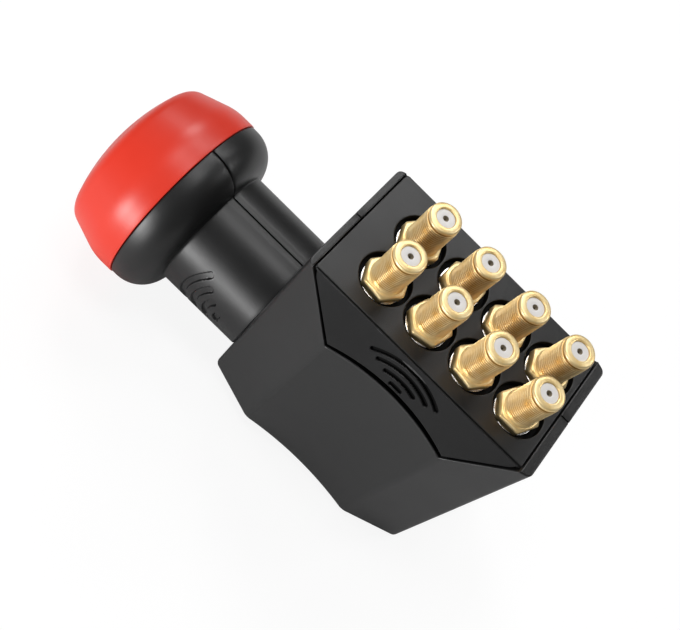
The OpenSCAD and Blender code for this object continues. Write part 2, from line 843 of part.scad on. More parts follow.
// The header between the boards: a moulded block with pins through it.
module board_link() {
    block_half = [link_spacing / 2, link_pins * link_spacing / 2];
    color(plastic_black)
        union() {
            block(
                [link_x - block_half[0], -block_half[1], rf_z + board_t],
                [link_x + block_half[0], block_half[1], rf_z + board_t + link_block_h]
            );
            link_spots(rf_z - board_gap)
                cylinder(h = switch_z + board_t + 2 * board_gap - rf_z, r = link_pin_r, $fn = small_steps);
        }
}

module mixer_chip() {
    color(plastic_black)
        translate([mid_x - mixer_size / 2, -mixer_size / 2, rf_z + board_t])
            cube([mixer_size, mixer_size, chip_h]);
}

module crystal() {
    color(steel)
        translate([mid_x + mixer_size, -crystal_width / 2, rf_z + board_t])
            cube([crystal_length, crystal_width, crystal_h]);
}

module switch_chip() {
    color(plastic_black)
        translate([mid_x - switch_chip_size / 2, -switch_chip_size / 2, switch_z - chip_h])
            cube([switch_chip_size, switch_chip_size, chip_h]);
}

// The upright probe hangs from the board into the waveguide, inside its bush.
module probe_upright() {
    color(gold)
        translate([probe_in, 0, guide_r - probe_reach])
            cylinder(h = rf_z + board_t - guide_r + probe_reach, r = probe_r, $fn = small_steps);
}

module bush_upright() {
    low = sqrt(guide_r * guide_r - bush_r * bush_r) - eps;
    color(insulator_white)
        difference() {
            translate([probe_in, 0, low])
                cylinder(h = rf_z - low, r = bush_r, $fn = small_steps);
            translate([probe_in, 0, 0])
                cylinder(h = rf_z + over, r = probe_r + hole_gap / 2, $fn = small_steps);
        }
}

// The level probe goes down beside the waveguide and turns in through its side.
module probe_level() {
    color(gold)
        union() {
            translate([level_x, -level_y, 0])
                cylinder(h = rf_z + board_t, r = probe_r, $fn = small_steps);
            translate([level_x, -level_y, 0])
                sphere(r = probe_r, $fn = small_steps);
            translate([level_x, -level_y, 0])
                rotate([-90, 0, 0])
                    cylinder(h = level_y - guide_r + probe_reach, r = probe_r, $fn = small_steps);
        }
}

module bush_level() {
    inner = sqrt(guide_r * guide_r - bush_r * bush_r);
    color(insulator_white)
        difference() {
            translate([level_x, -inner, 0])
                rotate([90, 0, 0])
                    cylinder(h = level_y - inner - bush_r, r = bush_r, $fn = small_steps);
            translate([level_x, 0, 0])
                rotate([90, 0, 0])
                    cylinder(h = level_y, r = probe_r + hole_gap / 2, $fn = small_steps);
        }
}

module guide_rod() {
    color(steel)
        translate([rod_x, 0, -guide_out_r])
            cylinder(h = rod_length, r = rod_r, $fn = small_steps);
}

// A socket's gold body: collar and groove at the mouth, threaded barrel, hexagon and foot.
module socket(i) {
    at = port_at(i);
    bevel_r = hex_r + over;
    bevel_start = hex_af / 2 - hex_bevel;
    bevel_z = hex_h - (bevel_r - bevel_start) * tan(hex_bevel_lean);
    color(gold)
        translate([at[0], at[1], 0])
            difference() {
                union() {
                    rotate_extrude($fn = small_steps)
                        polygon([
                            [0, port_foot], [thread_r, port_foot],
                            [thread_r, port_top - collar_length - collar_groove],
                            [collar_r - collar_groove, port_top - collar_length - collar_groove],
                            [collar_r - collar_groove, port_top - collar_length],
                            [collar_r, port_top - collar_length], [collar_r, port_top], [0, port_top]
                        ]);
                    intersection() {
                        translate([0, 0, hex_top - hex_h])
                            rotate(hex_turns[i])
                                cylinder(h = hex_h, r = hex_r, $fn = 6);
                        translate([0, 0, hex_top - hex_h])
                            rotate_extrude($fn = small_steps)
                                polygon([
                                    [0, 0], [bevel_r, 0], [bevel_r, bevel_z],
                                    [bevel_start, hex_h], [0, hex_h]
                                ]);
                    }
                }
                translate([0, 0, port_foot - over])
                    cylinder(h = port_top - port_foot + 2 * over, r = insulator_r, $fn = small_steps);
            }
}

module insulator(i) {
    at = port_at(i);
    length = port_top - insulator_in - port_foot;
    color(insulator_white)
        translate([at[0], at[1], port_foot])
            difference() {
                cylinder(h = length, r = insulator_r, $fn = small_steps);
                translate([0, 0, -over])
                    cylinder(h = length + 2 * over, r = contact_r + port_fit, $fn = small_steps);
            }
}

module contact(i) {
    at = port_at(i);
    low = switch_z - board_gap;
    color(gold)
        translate([at[0], at[1], low])
            cylinder(h = port_top - insulator_in - contact_in - low, r = contact_r, $fn = small_steps);
}

module washer(i) {
    at = port_at(i);
    color(steel)
        translate([at[0], at[1], cast_top])
            difference() {
                cylinder(h = washer_t, r = washer_r, $fn = small_steps);
                translate([0, 0, -over])
                    cylinder(h = washer_t + 2 * over, r = thread_r + port_fit, $fn = small_steps);
            }
}

feed_cap();
cap_seal();
shell_near();
shell_far();
socket_cover();
feed_casting();
upper_casting();
casting_gasket();
casting_screws();
rf_board();
rf_board_screws();
switch_board();
switch_board_screws();
board_link();
mixer_chip();
crystal();
switch_chip();
probe_upright();
probe_level();
bush_upright();
bush_level();
guide_rod();
socket(0);  // socket_1
socket(1);  // socket_2
socket(2);  // socket_3
socket(3);  // socket_4
socket(4);  // socket_5
socket(5);  // socket_6
socket(6);  // socket_7
socket(7);  // socket_8
insulator(0);  // insulator_1
insulator(1);  // insulator_2
insulator(2);  // insulator_3
insulator(3);  // insulator_4
insulator(4);  // insulator_5
insulator(5);  // insulator_6
insulator(6);  // insulator_7
insulator(7);  // insulator_8
contact(0);  // contact_1
contact(1);  // contact_2
contact(2);  // contact_3
contact(3);  // contact_4
contact(4);  // contact_5
contact(5);  // contact_6
contact(6);  // contact_7
contact(7);  // contact_8
washer(0);  // washer_1
washer(1);  // washer_2
washer(2);  // washer_3
washer(3);  // washer_4
washer(4);  // washer_5
washer(5);  // washer_6
washer(6);  // washer_7
washer(7);  // washer_8
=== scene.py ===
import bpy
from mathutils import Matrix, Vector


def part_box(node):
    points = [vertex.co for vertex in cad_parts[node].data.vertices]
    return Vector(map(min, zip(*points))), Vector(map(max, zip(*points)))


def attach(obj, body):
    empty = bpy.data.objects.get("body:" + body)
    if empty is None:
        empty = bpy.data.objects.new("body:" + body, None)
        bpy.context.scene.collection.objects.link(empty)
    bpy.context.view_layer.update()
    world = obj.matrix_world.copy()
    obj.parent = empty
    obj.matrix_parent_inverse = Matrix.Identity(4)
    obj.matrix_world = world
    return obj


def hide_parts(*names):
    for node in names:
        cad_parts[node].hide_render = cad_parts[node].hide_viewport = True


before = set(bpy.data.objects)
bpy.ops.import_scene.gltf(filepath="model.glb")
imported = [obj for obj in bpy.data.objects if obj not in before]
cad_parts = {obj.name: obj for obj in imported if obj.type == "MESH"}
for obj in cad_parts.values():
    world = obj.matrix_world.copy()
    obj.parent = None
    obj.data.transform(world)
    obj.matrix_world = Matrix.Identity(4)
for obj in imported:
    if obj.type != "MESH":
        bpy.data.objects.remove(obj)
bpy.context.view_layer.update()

import bpy
import bmesh
import math
from mathutils import Matrix, Vector

# Outer shell
# The shell is moulded in two halves, near and far, from black ABS with a fine sparked texture.
# The halves meet in the plane through the neck and are clamped together by the cover above
# and the cap in front; each half has a row of nested wave grooves on the neck.
MM = 0.001
# In millimetres, as all sizes here. The neck's axis is the x axis, and the body starts at x = 0.
NECK_R, NECK_LENGTH = 20.0, 28.4
SHOULDER_R, SHOULDER_ROUND, SEAM_X = 29.5, 10.0, -40.2
BODY_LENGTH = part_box("shell_near")[1][0] / MM
# The body's half widths at its ends and at its widest, how far in that lies, and the sides' hollow.
END_HALF, WIDE_HALF, WIDE_IN, HOLLOW = 20.2, 26.3, 18.0, 1.9
# Heights of floor, wall, rims and cover; the lip rises in an arch from its lowest height.
FLOOR_Z, WALL_Z, RIM_MID_Z, RIM_Z, PLATE_Z = -23.0, 36.0, 45.0, 55.2, 55.0
LIP_LOW_Z, LIP_RISE = 41.0, 2.6
FRONT_RIM, REAR_RIM = 2.0, BODY_LENGTH - 3.1
FOOT_R, CORNER_R, SOFT_R = 2.5, 2.0, 6.0
SHELL_T = 2.2
HALF_CHORD = BODY_LENGTH / 2 - WIDE_IN
MID_X = BODY_LENGTH / 2
LEAN = (WIDE_HALF - END_HALF) / WIDE_IN
LEAN_LEN = math.sqrt(1 + LEAN * LEAN)


def smooth(a, b, t):
    """0 below a, 1 above b, and an even curve between them."""
    u = min(max((t - a) / (b - a), 0.0), 1.0)
    return u * u * (3 - 2 * u)


def spread(a, b, n):
    """n + 1 values from a to b."""
    return [a + (b - a) * i / n for i in range(n + 1)]


def piece(name, points, faces, middle=(0, 0), weld=0.0005, sharp=35):
    """A mesh piece from points in millimetres, welded, its normals made to face outwards.
    The piece's own origin stands at its middle, so that its material can turn round it."""
    mesh = bpy.data.meshes.new(name)
    mesh.from_pydata([((x - middle[0]) * MM, (y - middle[1]) * MM, z * MM) for x, y, z in points], [], faces)
    form = bmesh.new()
    form.from_mesh(mesh)
    bmesh.ops.remove_doubles(form, verts=form.verts, dist=weld * MM)
    bmesh.ops.dissolve_degenerate(form, edges=form.edges, dist=weld * MM / 2)
    bmesh.ops.recalc_face_normals(form, faces=form.faces)
    form.to_mesh(mesh)
    form.free()
    mesh.polygons.foreach_set("use_smooth", [True] * len(mesh.polygons))
    mesh.set_sharp_from_angle(angle=math.radians(sharp))
    made = bpy.data.objects.new(name, mesh)
    made.location = (middle[0] * MM, middle[1] * MM, 0)
    bpy.context.scene.collection.objects.link(made)
    return made


def sheet_of(rows, points, faces, closed=False):
    """Adds a skin through rows of points, all of one length, to points and faces."""
    start, n = len(points), len(rows[0])
    for row in rows:
        points.extend(row)
    for k in range(len(rows) - 1):
        for i in range(n if closed else n - 1):
            a, b = start + k * n + i, start + k * n + (i + 1) % n
            faces.append((a, b, b + n, a + n))


def wave_depth(across, along, radii, reaches, width, depth):
    """Depth of nested round-ended arc grooves at a place, measured from the arcs' middle."""
    rho, turn = math.hypot(across, along), abs(math.degrees(math.atan2(across, along)))
    deepest = 0.0
    for radius, reach in zip(radii, reaches):
        if turn <= reach:
            gap = abs(rho - radius)
        else:
            end = math.radians(reach)
            gap = math.hypot(abs(across) - radius * math.sin(end), along - radius * math.cos(end))
        deepest = max(deepest, depth * (1 - smooth(width / 2 - 0.16, width / 2 + 0.1, gap)))
    return deepest


# The wave grooves' radii, half angles in degrees, width and depth, and where their middle lies.
NECK_WAVES = ([16.2, 12.0, 7.8, 3.6], [41, 37, 33, 20], 2.0, 0.75)
NECK_WAVES_X, NECK_WAVES_LOW = -5.2, 0.8


def neck_profile():
    """Places along the axis and radii of shoulder and neck, from the cap's seam to the body."""
    line = [(SEAM_X + 0.1, 27.3), (SEAM_X + 0.1, SHOULDER_R - 0.45)]
    line += [(SEAM_X + 0.5 - 0.4 * math.cos(a), SHOULDER_R - 0.4 + 0.4 * math.sin(a))
             for a in spread(0.0, math.pi / 2, 4)]
    mid = -NECK_LENGTH - SHOULDER_ROUND
    stop = math.acos(0.8 / SHOULDER_ROUND)
    line += [(mid + SHOULDER_ROUND * math.sin(a), SHOULDER_R - SHOULDER_ROUND * (1 - math.cos(a)))
             for a in spread(0.0, stop, 22)]
    line += [(-NECK_LENGTH + 0.04 + 0.5 * (1 - math.cos(a)), NECK_R + 0.3 - 0.3 * math.sin(a))
             for a in spread(0.3, math.pi / 2, 4)]
    line += [(x, NECK_R) for x in spread(-27.4, -23.6, 4)]
    line += [(x, NECK_R) for x in spread(-23.4, -1.4, 110)]
    line += [(-0.5, NECK_R), (-0.28, NECK_R - 0.05), (-0.1, NECK_R - 0.3), (0.4, NECK_R - 0.5)]
    return line


def neck_half(side, points, faces):
    """One half of shoulder and neck. The parting groove lies at its top and bottom, and on the
    neck it lies in a shallow band at the top."""
    edge = [(0.2, -0.7), (0.42, -0.3), (0.65, -0.08), (1.1, 0.0)]
    turns = edge + [(t, 0.0) for t in (2.6, 4.4, 4.9)]
    turns += [(t, 0.0) for t in spread(8, 44, 12)] + [(t, 0.0) for t in spread(44.7, 135.3, 132)]
    turns += [(t, 0.0) for t in spread(136, 174, 12)] + [(180 - t, d) for t, d in reversed(edge)]
    rows = []
    for x, r in neck_profile():
        row = []
        for turn, lift in turns:
            t = math.radians(turn)
            band = 0.07 * (1 - smooth(4.3, 4.9, turn)) if r < NECK_R + 0.1 else 0.0
            cut = 0.0
            if abs(r - NECK_R) < 0.01 and 44 < turn < 136:
                cut = wave_depth(r * math.cos(t) + NECK_WAVES_LOW, NECK_WAVES_X - x, *NECK_WAVES)
            out = r + lift - band - cut
            row.append((x, side * out * math.sin(t), out * math.cos(t)))
        rows.append(row)
    sheet_of(rows, points, faces)


def corner_arc(a, b, c, r, n):
    """Points of an arc of radius r in place of corner b, between a and c."""
    a, b, c = Vector(a), Vector(b), Vector(c)
    u, v = (a - b).normalized(), (c - b).normalized()
    half = math.acos(max(min(u.dot(v), 1), -1)) / 2
    mid = b + (u + v).normalized() * (r / math.sin(half))
    first, last = b + u * (r / math.tan(half)) - mid, b + v * (r / math.tan(half)) - mid
    start = math.atan2(first.y, first.x)
    turn = (math.atan2(last.y, last.x) - start + 3 * math.pi) % (2 * math.pi) - math.pi
    return [(mid.x + r * math.cos(start + turn * k / n), mid.y + r * math.sin(start + turn * k / n))
            for k in range(n + 1)]


def side_plan(inset):
    """One side of the body seen from above, from the front middle round to the back middle.
    Gives the points with y as a depth from the middle plane, and where the rims end."""
    radius = (HALF_CHORD ** 2 + HOLLOW ** 2) / (2 * HOLLOW)
    middle = WIDE_HALF - HOLLOW + radius

    def hollow(x):
        return middle - math.sqrt((radius + inset) ** 2 - (x - MID_X) ** 2)

    end = END_HALF + LEAN * inset - inset * LEAN_LEN
    wide = (WIDE_IN, hollow(WIDE_IN))
    front = [(inset + 0.7, 0.06), (inset + 0.16, 0.1), (inset + 0.03, 0.22), (inset, 0.38)]
    front += [(inset, y) for y in (3, 6, 9, 12, 15)]
    front += corner_arc((inset, 0), (inset, end), wide, max(CORNER_R - inset, 0.05), 10)
    first = len(front)
    lean = [(x, end + LEAN * (x - inset)) for x in [FRONT_RIM, FRONT_RIM] + spread(3.4, 16.0, 19)]
    bow = [(x, hollow(x)) for x in spread(WIDE_IN, MID_X, 24)][1:]
    soft = corner_arc((inset, end), wide, bow[0], max(SOFT_R - inset, 0.05), 14)
    half = front + lean + soft + bow
    rear_rim = (REAR_RIM, end + LEAN * (BODY_LENGTH - REAR_RIM - inset))
    back = [rear_rim if abs(x - FRONT_RIM) < 1e-6 else (BODY_LENGTH - x, y) for x, y in reversed(half[:-1])]
    return half + back, first, len(half) + len(back) - first - 1


def seam_height(x, low, rise):
    """Height of an edge along the seam at x: a slope from each rim and an arch between."""
    if x < WIDE_IN:
        return low + (PLATE_Z - low) * (WIDE_IN - x) / (WIDE_IN - FRONT_RIM)
    if x > BODY_LENGTH - WIDE_IN:
        return low + (PLATE_Z - low) * (x - BODY_LENGTH + WIDE_IN) / (REAR_RIM - BODY_LENGTH + WIDE_IN)
    radius = (HALF_CHORD ** 2 + rise ** 2) / (2 * rise)
    return low + rise - radius + math.sqrt(radius ** 2 - (x - MID_X) ** 2)


def body_half(side, points, faces):
    """One side of the body: floor, rounded foot, wall, and the lips of wall and rims."""
    plan, first, last = side_plan(0.0)

    def row(inset, heights):
        return [(x, side * y, z) for (x, y), z in zip(side_plan(inset)[0], heights)]

    count = len(plan)
    foot = [row(FOOT_R * (1 - math.sin(a)), [FLOOR_Z + FOOT_R * (1 - math.cos(a))] * count)
            for a in spread(0.0, math.pi / 2, 8)]
    walls = foot + [row(0.0, [z] * count) for z in (0.0, 20.0, WALL_Z)]
    sheet_of(walls, points, faces)
    ground = [p for p in foot[0] if abs(p[1]) > 0.3]
    start = len(points)
    points.extend(ground + [(ground[-1][0], side * 0.2, FLOOR_Z), (ground[0][0], side * 0.2, FLOOR_Z)])
    faces.append(tuple(range(start, len(points))))
    ends = (ground[-1][0], ground[0][0])
    sheet_of([[(x, side * y, z) for x in ends]
              for y, z in ((0.2, FLOOR_Z), (0.09, FLOOR_Z + 0.1), (0.05, FLOOR_Z + 0.7))], points, faces)

    tops = [seam_height(min(max(x, FRONT_RIM), REAR_RIM), LIP_LOW_Z, LIP_RISE) for x, _ in plan]
    lips = [(0.0, 0.55), (0.0, 0.42), (0.03, 0.24), (0.12, 0.1), (0.26, 0.02), (0.42, 0.0), (0.5, 0.0),
            (SHELL_T - 0.3, 0.0), (SHELL_T, 0.3), (SHELL_T, 6.0)]
    upper = [row(0.0, [WALL_Z] * count), row(0.0, [(WALL_Z + t) / 2 for t in tops])]
    upper += [row(inset, [t - drop for t in tops]) for inset, drop in lips]
    sheet_of([r[first + 1:last] for r in upper], points, faces)

    # The parting line's groove over the rims, deepest at the middle plane.
    groove = [0.7 if y < 0.08 else 0.3 if y < 0.15 else 0.06 if y < 0.3 else 0.0 for _, y in plan]
    rim = [row(0.0, [WALL_Z] * count), row(0.0, [RIM_MID_Z] * count)]
    rim += [row(inset, [RIM_Z - drop - cut for cut in groove]) for inset, drop in lips[:7]]
    for near_end, stop in ((slice(0, first + 1), FRONT_RIM), (slice(last, count), REAR_RIM)):
        part = [r[near_end] for r in rim]
        inner = []
        for reach, drop in ((0.45, 0.0), (0.35, 0.0), (0.12, 0.1), (0.0, 0.35), (0.0, RIM_Z - PLATE_Z + 5)):
            far = stop - reach if stop == FRONT_RIM else stop + reach
            inner.append([(far, p[1], p[2] - drop) for p in part[-1]])
        sheet_of(part + inner, points, faces)


shell_pieces = []
for side, word in ((-1, "near"), (1, "far")):
    skin, skin_faces = [], []
    neck_half(side, skin, skin_faces)
    body_half(side, skin, skin_faces)
    shell = piece("moulded_shell_" + word, skin, skin_faces)
    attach(shell, "root")
    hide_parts("shell_" + word)
    shell_pieces.append(shell)


def material(name):
    """A new node material with its Principled shader."""
    made = bpy.data.materials.new(name)
    made.use_nodes = True
    return made, made.node_tree, made.node_tree.nodes["Principled BSDF"]


def node(tree, kind, **values):
    """A shader node with some of its inputs set by name."""
    made = tree.nodes.new(kind)
    for key, value in values.items():
        made.inputs[key.replace("_", " ")].default_value = value
    return made


def dress(thing, finish):
    """Gives a piece or a CAD node one material."""
    thing.data.materials.clear()
    thing.data.materials.append(finish)


def socket_of(group, word, direction, value=None):
    """A named input or output of a node group, for one number."""
    made = group.interface.new_socket(name=word, in_out=direction, socket_type="NodeSocketFloat")
    if value is not None:
        made.default_value = value


# The sparked skin of moulded plastic: fine even grain, with slow uneven patches in the gloss.
sparked = bpy.data.node_groups.new("sparked_skin", "ShaderNodeTree")
socket_of(sparked, "Grain Size", "INPUT", value=4000.0)
socket_of(sparked, "Patch Size", "INPUT", value=45.0)
socket_of(sparked, "Low Gloss", "INPUT", value=0.4)
socket_of(sparked, "High Gloss", "INPUT", value=0.5)
socket_of(sparked, "Height", "OUTPUT")
socket_of(sparked, "Roughness", "OUTPUT")
socket_of(sparked, "Patches", "OUTPUT")
inside = sparked.nodes.new("NodeGroupInput")
outside = sparked.nodes.new("NodeGroupOutput")
place = sparked.nodes.new("ShaderNodeTexCoord")
grain = node(sparked, "ShaderNodeTexNoise", Detail=3.0, Roughness=0.6)
patch = node(sparked, "ShaderNodeTexNoise", Detail=4.0, Roughness=0.55)
gloss = node(sparked, "ShaderNodeMapRange", From_Min=0.35, From_Max=0.65)
for texture, size in ((grain, "Grain Size"), (patch, "Patch Size")):
    sparked.links.new(place.outputs["Object"], texture.inputs["Vector"])
    sparked.links.new(inside.outputs[size], texture.inputs["Scale"])
sparked.links.new(patch.outputs["Fac"], gloss.inputs["Value"])
sparked.links.new(inside.outputs["Low Gloss"], gloss.inputs["To Min"])
sparked.links.new(inside.outputs["High Gloss"], gloss.inputs["To Max"])
sparked.links.new(grain.outputs["Fac"], outside.inputs["Height"])
sparked.links.new(gloss.outputs["Result"], outside.inputs["Roughness"])
sparked.links.new(patch.outputs["Fac"], outside.inputs["Patches"])


def shades(tree, dark, light, first=0.0, last=1.0):
    """A ramp between two close shades."""
    ramp = tree.nodes.new("ShaderNodeValToRGB")
    for stop, place, shade in zip(ramp.color_ramp.elements, (first, last), (dark, light)):
        stop.position = place
        stop.color = (*shade, 1)
    return ramp


def moulded(name, dark, light, grain_size, bump, low, high, shine=0.5):
    """A moulded plastic: two close shades in slow patches, sparked grain and uneven gloss."""
    made, tree, shader = material(name)
    skin = tree.nodes.new("ShaderNodeGroup")
    skin.node_tree = sparked
    skin.inputs["Grain Size"].default_value = grain_size
    skin.inputs["Low Gloss"].default_value = low
    skin.inputs["High Gloss"].default_value = high
    shade = shades(tree, dark, light, 0.3, 0.7)
    relief = node(tree, "ShaderNodeBump", Strength=bump, Distance=0.00006)
    tree.links.new(skin.outputs["Patches"], shade.inputs["Fac"])
    tree.links.new(shade.outputs["Color"], shader.inputs["Base Color"])
    tree.links.new(skin.outputs["Roughness"], shader.inputs["Roughness"])
    tree.links.new(skin.outputs["Height"], relief.inputs["Height"])
    tree.links.new(relief.outputs["Normal"], shader.inputs["Normal"])
    shader.inputs["Specular IOR Level"].default_value = shine
    return made


shell_black = moulded("shell_black_plastic", (0.0090, 0.0090, 0.0092), (0.0110, 0.0110, 0.0113),
                      3500, 0.3, 0.34, 0.4)
# Painted shade: a near-black, dull plastic put on lips, groove floors and hole walls where the gaps between
# shell, cover and sockets lie in shade.
painted_shade_black = moulded("painted_shade_plastic", (0.002, 0.002, 0.002), (0.003, 0.003, 0.003),
                       2600, 0.4, 0.7, 0.8, 0.1)
# The lip tops along the seam, under the flaps, get this painted shade as a painted shadow of the flaps; only
# the outer LIP_SHOWN millimetres keep the shell's black.
LIP_SHOWN = 0.45
for shell in shell_pieces:
    dress(shell, shell_black)
    shell.data.materials.append(painted_shade_black)
    for face in shell.data.polygons:
        x, y, z = (c / MM for c in face.center)
        if FRONT_RIM + 0.2 < x < REAR_RIM - 0.2 and z > LIP_LOW_Z - 1 and face.normal.z > 0.7:
            lean = LEAN * min(x, BODY_LENGTH - x, WIDE_IN)
            bow = max(0.0, 1 - ((x - MID_X) / HALF_CHORD) ** 2) * HOLLOW
            if abs(y) < END_HALF + lean - bow - LIP_SHOWN:
                face.material_index = 1

# Feed cap
# A thin dome moulded from red polypropylene, which microwaves pass through.
# It slips over the spigot of the two shells and is sealed there by a rubber ring.
# From the seam: a straight stretch, a bend, a leaning side, a round edge and the dome in front.
CAP_R, CAP_T, CAP_STRAIGHT, CAP_BEND_R, CAP_SIDE, CAP_EDGE_R = 29.8, 2.0, 3.8, 18.0, 8.1, 5.0
CAP_LEAN, CAP_DOME_LEAN = math.radians(19), math.radians(22)


def cap_point(middle, r, turn):
    """A point of the cap's outline on an arc, with the turn from the radial direction."""
    return (middle[0] - r * math.sin(turn), middle[1] + r * math.cos(turn))


bend = (SEAM_X - CAP_STRAIGHT, CAP_R - CAP_BEND_R)
bend_end = cap_point(bend, CAP_BEND_R, CAP_LEAN)
side_end = (bend_end[0] - CAP_SIDE * math.cos(CAP_LEAN), bend_end[1] - CAP_SIDE * math.sin(CAP_LEAN))
rim = (side_end[0] + CAP_EDGE_R * math.sin(CAP_LEAN), side_end[1] - CAP_EDGE_R * math.cos(CAP_LEAN))
rim_end = cap_point(rim, CAP_EDGE_R, math.pi / 2 - CAP_DOME_LEAN)
dome_r = rim_end[1] / math.sin(CAP_DOME_LEAN)
dome = (rim_end[0] + dome_r * math.cos(CAP_DOME_LEAN), 0.0)
outline = [(SEAM_X - 0.05, CAP_R - CAP_T), (SEAM_X - 0.05, CAP_R - 0.3), (SEAM_X - 0.09, CAP_R - 0.12),
           (SEAM_X - 0.2, CAP_R - 0.03), (SEAM_X - 0.35, CAP_R), (SEAM_X - 1.6, CAP_R)]
outline += [cap_point(bend, CAP_BEND_R, t) for t in spread(0.0, CAP_LEAN, 10)]
outline += [tuple(a + (b - a) * t for a, b in zip(bend_end, side_end)) for t in (0.25, 0.5, 0.75)]
outline += [cap_point(rim, CAP_EDGE_R, t) for t in spread(CAP_LEAN, math.pi / 2 - CAP_DOME_LEAN, 16)]
outline += [cap_point(dome, dome_r, math.pi / 2 - CAP_DOME_LEAN * (1 - t))
            for t in spread(0.0, 1.0, 18)[1:-1]]
cap_skin, cap_faces = [], []
ring = spread(0.0, 2 * math.pi, 160)[:-1]
sheet_of([[(x, r * math.cos(t), r * math.sin(t)) for t in ring] for x, r in outline],
         cap_skin, cap_faces, True)
cap_skin.append((dome[0] - dome_r, 0, 0))
last_ring = (len(outline) - 1) * len(ring)
cap_faces += [(last_ring + i, last_ring + (i + 1) % len(ring), len(cap_skin) - 1) for i in range(len(ring))]
feed_cap = piece("red_feed_cap", cap_skin, cap_faces)
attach(feed_cap, "root")
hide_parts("feed_cap")
cap_red = moulded("cap_red_plastic", (0.72, 0.038, 0.019), (0.74, 0.043, 0.022),
                  2600, 0.12, 0.33, 0.38, 0.42)
dress(feed_cap, cap_red)

# Socket cover
# One black moulding clipped in between the rims: a flat plate with a round hole for each
# socket, and a sloped flap on each side whose arched lower edge meets the hollow side wall.
# A fold line parts plate and flaps, and each flap carries nested wave grooves.
PORTS = []
for number in range(1, 9):
    low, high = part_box("socket_%d" % number)
    PORTS.append(((low[0] + high[0]) / 2 / MM, (low[1] + high[1]) / 2 / MM))
PITCH, ROWS = PORTS[1][0] - PORTS[0][0], PORTS[4][1] - PORTS[0][1]
HOLE_R, PLATE_T, FLAP_T, TOP_CORNER = 7.5, 2.4, 2.0, 0.9
# The plate's half width on the near side, -1, and on the far side, 1. Both flaps slope down to
# the same half width at the foot.
TOP_HALF = {-1: 20.2, 1: 20.95}
FLAP_FOOT_HALF, FLAP_DROP = 26.1, 13
FLAP_SLOPE = {side: (FLAP_FOOT_HALF - half) / FLAP_DROP for side, half in TOP_HALF.items()}
COVER_X0, COVER_X1 = FRONT_RIM + 0.3, REAR_RIM - 0.3
FLAP_LOW_Z, FLAP_RISE = 42.25, 3.6
# As for the neck's waves; their middle lies below the flap, and their stretch has finer rows.
FLAP_WAVES = ([20.0, 17.7, 15.4, 13.1], [33.5, 27.5, 18, 6.5], 1.25, 0.9)
FLAP_WAVES_DOWN, FLAP_WAVES_X = 22.0, MID_X - 0.6
WAVES_X0, WAVES_X1 = 25.0, 51.3


def flap_end(x, side):
    """Distance down the flap from the plate's edge to the flap's lower edge, at x."""
    z = seam_height(x, FLAP_LOW_Z, FLAP_RISE)
    return max((PLATE_Z - z) * math.hypot(1, FLAP_SLOPE[side]), 0.02)


def flap_place(x, down, out, side):
    """A point on a flap: so far down its slope and out along its normal."""
    slope = FLAP_SLOPE[side]
    n = math.hypot(1, slope)
    y = TOP_HALF[side] + down * slope / n + out / n
    z = PLATE_Z - down / n + out * slope / n
    return (x, side * y, z)


def corner_in(x, amount):
    """x moved in by an amount at the cover's ends, and by less and less over the next 4 mm."""
    fade = 4
    return x + amount * (max(0.0, 1 - (x - COVER_X0) / fade) - max(0.0, 1 - (COVER_X1 - x) / fade))


def cover_flap(side, points, faces):
    """A sloped flap with its wave grooves and its rounded lower lip."""
    stations = spread(COVER_X0, WAVES_X0, 50) + spread(WAVES_X0, WAVES_X1, 220)
    stations += spread(WAVES_X1, COVER_X1, 50) + [WIDE_IN, BODY_LENGTH - WIDE_IN]
    stations = sorted(set(round(x, 4) for x in stations))
    rows = []
    for share in [0.0] + spread(0.03, 1.0, 84):
        row = []
        for x in stations:
            end = flap_end(x, side)
            down = max(0.28, share * max(end - 0.3, 0.28)) if end > 0.6 else share * end * 0.5
            cut = 0.0
            if WAVES_X0 < x < WAVES_X1:
                cut = wave_depth(x - FLAP_WAVES_X, FLAP_WAVES_DOWN - down, *FLAP_WAVES)
            around = TOP_CORNER * (1 - smooth(0.0, 2.5, down))
            row.append(flap_place(corner_in(x, around), down, -cut - 0.012, side))
        rows.append(row)
    for back, out in ((0.14, -0.04), (0.04, -0.13), (0.0, -0.3), (0.0, -FLAP_T)):
        lip = []
        for x in stations:
            down = max(flap_end(x, side) - back, 0.0)
            around = TOP_CORNER * (1 - smooth(0.0, 2.5, down))
            lip.append(flap_place(corner_in(x, around), down, out - 0.012, side))
        rows.append(lip)
    sheet_of(rows, points, faces)


